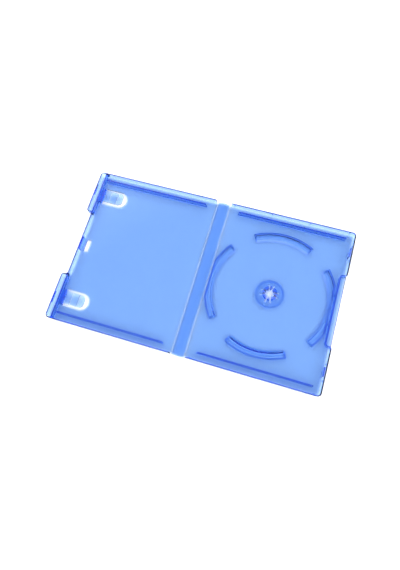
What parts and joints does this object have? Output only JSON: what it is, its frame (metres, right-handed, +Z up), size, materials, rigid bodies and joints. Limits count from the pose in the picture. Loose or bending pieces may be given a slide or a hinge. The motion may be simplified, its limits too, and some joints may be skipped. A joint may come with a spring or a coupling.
{
  "type": "game disc case",
  "caption": "Hinged see-through blue disc case, open flat, with a slotted disc hub, rim ledges, booklet clips and edge latches.",
  "frame": {"origin": "middle of the spine's outer face, on the surface that the open case lies on", "axes": "+X across the open case from the lid to the disc tray, +Y along the spine, +Z up out of the open case"},
  "size_m": [0.283, 0.171, 0.0104],
  "materials": {
    "clear_blue_plastic": "clear gloss, see-through"
  },
  "bodies": {
    "tray": {"tray": "clear_blue_plastic", "tray_hinge_web": "clear_blue_plastic"},
    "spine": {"spine": "clear_blue_plastic"},
    "lid": {"lid": "clear_blue_plastic", "lid_hinge_web": "clear_blue_plastic"}
  },
  "joints": [
    {"name": "spine_fold", "type": "hinge", "parent": "tray", "child": "spine", "pos_m": [0.00675, 0, 0.00025], "axis": [0, 1, 0], "range_deg": [0, 90], "deforming": ["tray_hinge_web"]},
    {"name": "lid_fold", "type": "hinge", "parent": "spine", "child": "lid", "pos_m": [-0.00675, 0, 0.00025], "axis": [0, 1, 0], "range_deg": [0, 90], "deforming": ["lid_hinge_web"]}
  ]
}
